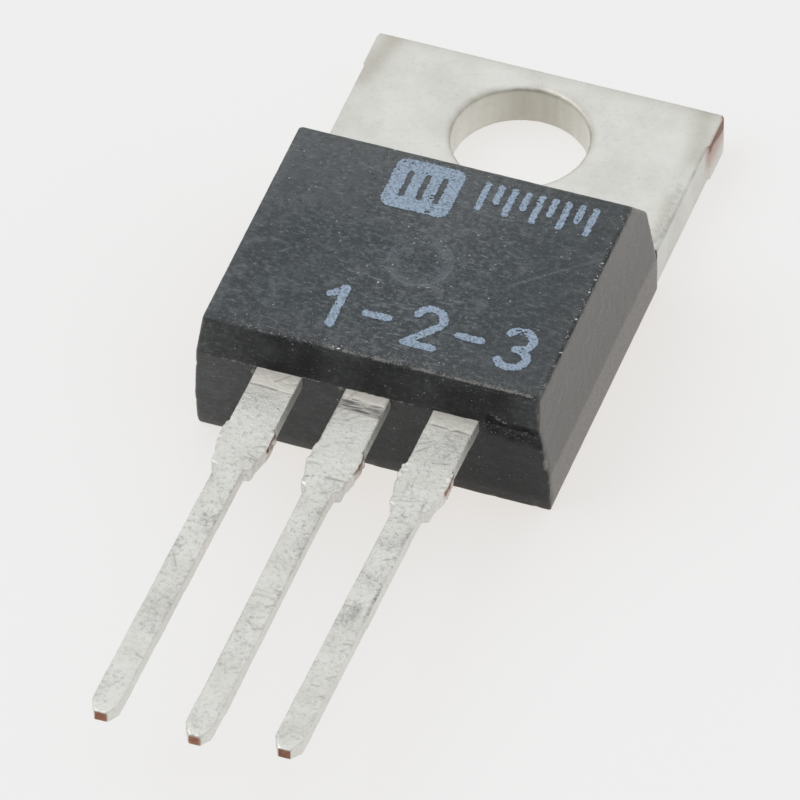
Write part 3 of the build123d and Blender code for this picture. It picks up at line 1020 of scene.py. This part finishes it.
def header():
    """The tab, its hole, the die pad and the middle lead."""
    piece = softened_copy("collector_header", "tab_header", HEADER_CELL)
    points, normals = points_of(piece)
    rise, paints = dress_lead(points, normals, CENTRE_LEAD)
    at = Places(points, normals)
    at.on_tab = fade(back_y - 0.5, back_y - 0.2, at.y)
    rise += at.on_tab * (0.006 * at.noise(1.4, 70) + 0.003 * at.noise(0.3, 71))
    # the punch drew the hole's upper rim down
    at.from_hole = np.hypot(at.x, at.y)
    at.drawn = np.clip(1 - (at.from_hole - HOLE_RADIUS) / 0.22, 0, 1) ** 2
    at.drawn *= fade(0.7, 1.3, at.z)
    at.drawn *= np.interp(at.x, (0.3, 1.2), (1, 0.35))
    cut_ear(at, paints)
    tab_shades(at, paints)
    hole_wall(at, paints)
    edge_burr(at, paints)
    points += normals * rise[:, None]
    points[:, 2] -= 0.07 * at.drawn
    return tinned_piece(piece, points, paints, "tinned_header", "collector_header")


# ---- the marking

def bow(x, y, radii, low, high):
    """Places along an elliptical arc about (x, y), between two angles in degrees."""
    steps = np.radians(np.linspace(low, high, 19))
    return list(zip(x + radii[0] * np.cos(steps), y + radii[1] * np.sin(steps)))


def one(left, foot, size):
    top, stem = foot + size, left + 0.36 * size
    return [(stem - 0.24 * size, top - 0.22 * size), (stem, top), (stem, foot)]


def two(left, foot, size):
    r = 0.27 * size
    head = bow(left + r, foot + size - r, (r, r), 165, -38)
    return head + [(left, foot), (left + 2 * r, foot)]


def three(left, foot, size):
    r = 0.25 * size
    upper = bow(left + r, foot + size - r, (r * 1.05, r), 150, -90)
    return upper + bow(left + r, foot + r, (r * 1.15, r), 90, -150)[1:]


def outside_path(sheet, places, width):
    """How far the sheet's places are outside strokes from each place to the next."""
    gaps = [line_gap(sheet, start, end) for start, end in zip(places, places[1:])]
    return np.minimum.reduce(gaps) - width / 2


def outside_grille(sheet, left, foot, wide, high):
    """How far the sheet's places are outside a filled block with round corners and three
    plain closed slots, like a vent's."""
    radius, half = 0.3, np.array((wide, high)) / 2
    dx, dy = (np.abs(sheet - (left, foot) - half) - half + radius).T
    outside = np.hypot(np.maximum(dx, 0), np.maximum(dy, 0)) + np.minimum(np.maximum(dx, dy), 0)
    outside -= radius
    for share in (0.25, 0.5, 0.75):
        x = left + share * wide
        slot = outside_path(sheet, [(x, foot + 0.28 * high), (x, foot + 0.72 * high)], 0.17)
        outside = np.maximum(outside, -slot)
    return outside


def outside_marks(sheet):
    """How far the sheet's places are outside the grille, the ticks, the pins' numbers and
    the dashes."""
    marks = [outside_grille(sheet, -1.85, -6.58, 1.98, 1.92)]
    for k in range(9):
        x, foot = 0.8 + k * 0.39, -5.88 if k % 2 == 0 else -5.5
        marks.append(outside_path(sheet, [(x, foot), (x, -4.92)], 0.19))
    for number, left in ((one, -2.05), (two, 0.62), (three, 3.22)):
        marks.append(outside_path(sheet, number(left, -11.4, 1.42), 0.25))
    for left in (-0.72, 1.95):
        marks.append(outside_path(sheet, [(left, -10.7), (left + 0.62, -10.7)], 0.25))
    return np.minimum.reduce(marks)


def marking():
    """Plain marks in worn ink on the top face."""
    cell = 0.026
    columns = np.arange(-2.2, 4.6, cell)
    rows = np.arange(-11.8, -4.4, cell)
    x, y = (a.ravel() for a in np.meshgrid(columns, rows, indexing="ij"))
    outside = outside_marks(np.stack([x, y], 1))
    flat = np.stack([x, y, np.zeros(len(x))], 1)
    ragged = 0.026 * grain(flat, 0.09, 30) + 0.022 * grain(flat, 0.045, 31)
    pits = grain(flat, 0.065, 32) + 0.6 * grain(flat, 0.26, 33)
    keep = (outside + ragged < 0) & (pits < 0.74 + 1.6 * np.clip(-outside - 0.1, 0, 0.4))
    flecks = grain(flat, 0.05, 34) + 0.5 * grain(flat, 0.2, 35) > 0.92
    keep = (keep | (outside < 0.08) & flecks).reshape(len(columns), len(rows))
    number, points, faces = {}, [], []

    def corner(i, j):
        if (i, j) not in number:
            number[i, j] = len(points)
            place = columns[0] + (i - 0.5) * cell, rows[0] + (j - 0.5) * cell
            points.append((*place, top_z - 0.002))
        return number[i, j]

    for i, j in zip(*np.nonzero(keep)):
        faces.append([corner(i, j), corner(i + 1, j), corner(i + 1, j + 1), corner(i, j + 1)])
    points = np.array(points)
    points[:, 0] += 0.006 * grain(points, 0.03, 36)
    points[:, 1] += 0.006 * grain(points, 0.03, 37)
    piece = mesh_object("marking_ink", points, faces)
    thick = piece.modifiers.new("thickness", "SOLIDIFY")
    thick.thickness = 0.01 * MM
    thick.offset = -1
    return finished(piece, ink, "epoxy")


# ---- floor, light, camera

def floor():
    """A plain pale floor. It glows a little to the camera and in reflections, so it stays
    pale, and keeps the object's shadow."""
    half = 1500
    corners = [(x, y, -0.01) for x, y in ((-half, -half), (half, -half), (half, half), (-half, half))]
    piece = mesh_object("floor", corners, [(0, 1, 2, 3)])
    coat = Finish("floor")
    path = coat.add("LightPath", "Is Camera Ray")
    seen = coat.maths("MAXIMUM", path, path.beside("Is Glossy Ray"))
    seen = coat.maths("MAXIMUM", seen, path.beside("Is Transmission Ray"))
    tone = coat.mixed(seen, (0.88, 0.87, 0.85), (0.66, 0.82, 1))
    coat.look({"Base Color": tone, "Roughness": 0.8, "Specular IOR Level": 0})
    glow = coat.add("Emission", 0, {"Color": (0.945, 0.89, 0.83), "Strength": 1})
    lit = Value(coat, coat.shader.outputs[0])
    blend = coat.add("MixShader", 0, {0: seen * 0.74, 1: lit, 2: glow})
    coat.put(coat.tree.nodes["Material Output"].inputs["Surface"], blend)
    piece.data.materials.append(coat.material)


def studio():
    """An even white room, a little cooler overhead and darker towards the viewer."""
    world = bpy.data.worlds.new("studio")
    bpy.context.scene.world = world
    world.use_nodes = True
    nodes = Nodes(world.node_tree)
    way = nodes.add("TexCoord", "Generated")
    height = nodes.add("SeparateXYZ", "Z", {0: way}).ranged(0, 0.9)
    room = nodes.mixed(height, (0.8, 0.795, 0.78), (0.91, 0.915, 0.92))
    ahead = {0: way, 1: (0.25, -0.93, 0.15)}
    ahead = nodes.add("VectorMath", "Value", ahead, operation="DOT_PRODUCT")
    room = nodes.mixed(ahead.ranged(0.35, 0.95, 0, 0.62), room, (0.18, 0.18, 0.18))
    seen = nodes.add("LightPath", "Is Camera Ray")
    back = nodes.tree.nodes["Background"].inputs
    nodes.put(back["Color"], nodes.mixed(seen, room, (0.86, 0.86, 0.86)))
    nodes.put(back["Strength"], 1)


def softbox():
    """One large square lamp, behind the left shoulder, aimed at the moulding."""
    data = bpy.data.lights.new("softbox", "AREA")
    data.shape = "SQUARE"
    data.size = 300 * MM
    data.energy = 0.4
    data.color = (1, 0.99, 0.98)
    lamp = new_object("softbox", data)
    lamp.location = Vector((-260, -120, 330)) * MM
    aim = Vector((0, -8, 0)) * MM - lamp.location
    lamp.rotation_euler = aim.to_track_quat("-Z", "Y").to_euler()


def camera():
    """A long lens looking down at the leads' ends from the emitter side."""
    azimuth, elevation, roll = (math.radians(a) for a in (19.712, 45.271, -0.422))
    target = Vector((0.337, -10.98, 1.5))
    distance = 434.92
    back = Vector((
        math.sin(azimuth) * math.cos(elevation),
        -math.cos(azimuth) * math.cos(elevation),
        math.sin(elevation),
    ))
    level = Vector((math.cos(azimuth), math.sin(azimuth), 0))
    upright = back.cross(level)
    right = level * math.cos(roll) + upright * math.sin(roll)
    up = upright * math.cos(roll) - level * math.sin(roll)
    data = bpy.data.cameras.new("camera")
    data.sensor_width = 36
    data.lens = 718.07
    data.clip_start = 0.05
    data.clip_end = 10
    holder = new_object("camera", data)
    turn = Matrix((right, up, back)).transposed().to_4x4()
    holder.matrix_world = Matrix.Translation((target + back * distance) * MM) @ turn
    bpy.context.scene.camera = holder


# ---- the whole scene

bpy.context.scene.view_settings.view_transform = "Standard"
camera()
studio()
softbox()
floor()

epoxy = epoxy_material()
pale_grit = grit_material()
tin = tinned_material()
ink = ink_material()
# the inner pieces' dark and light colour, metal, roughness, and how wide their texture is
wire = (0.76, 0.77, 0.78), (0.86, 0.87, 0.88), 1, 0.3, 0.2
inner = {
    "silicon_die": ((0.1, 0.11, 0.14), (0.16, 0.17, 0.21), 0.7, 0.25, 0.8),
    "die_attach_solder": ((0.42, 0.42, 0.43), (0.55, 0.55, 0.55), 1, 0.4, 0.4),
    "base_bond_wire": wire,
    "emitter_bond_wire": wire,
}
for node, look in inner.items():
    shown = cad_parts[node]
    shown.data.materials.clear()
    shown.data.materials.append(inner_material(node, *look))

moulding()
grit()
header()
outer_lead("base_lead", "base_lead_tinned", BASE_LEAD)
outer_lead("emitter_lead", "emitter_lead_tinned", EMITTER_LEAD)
marking()
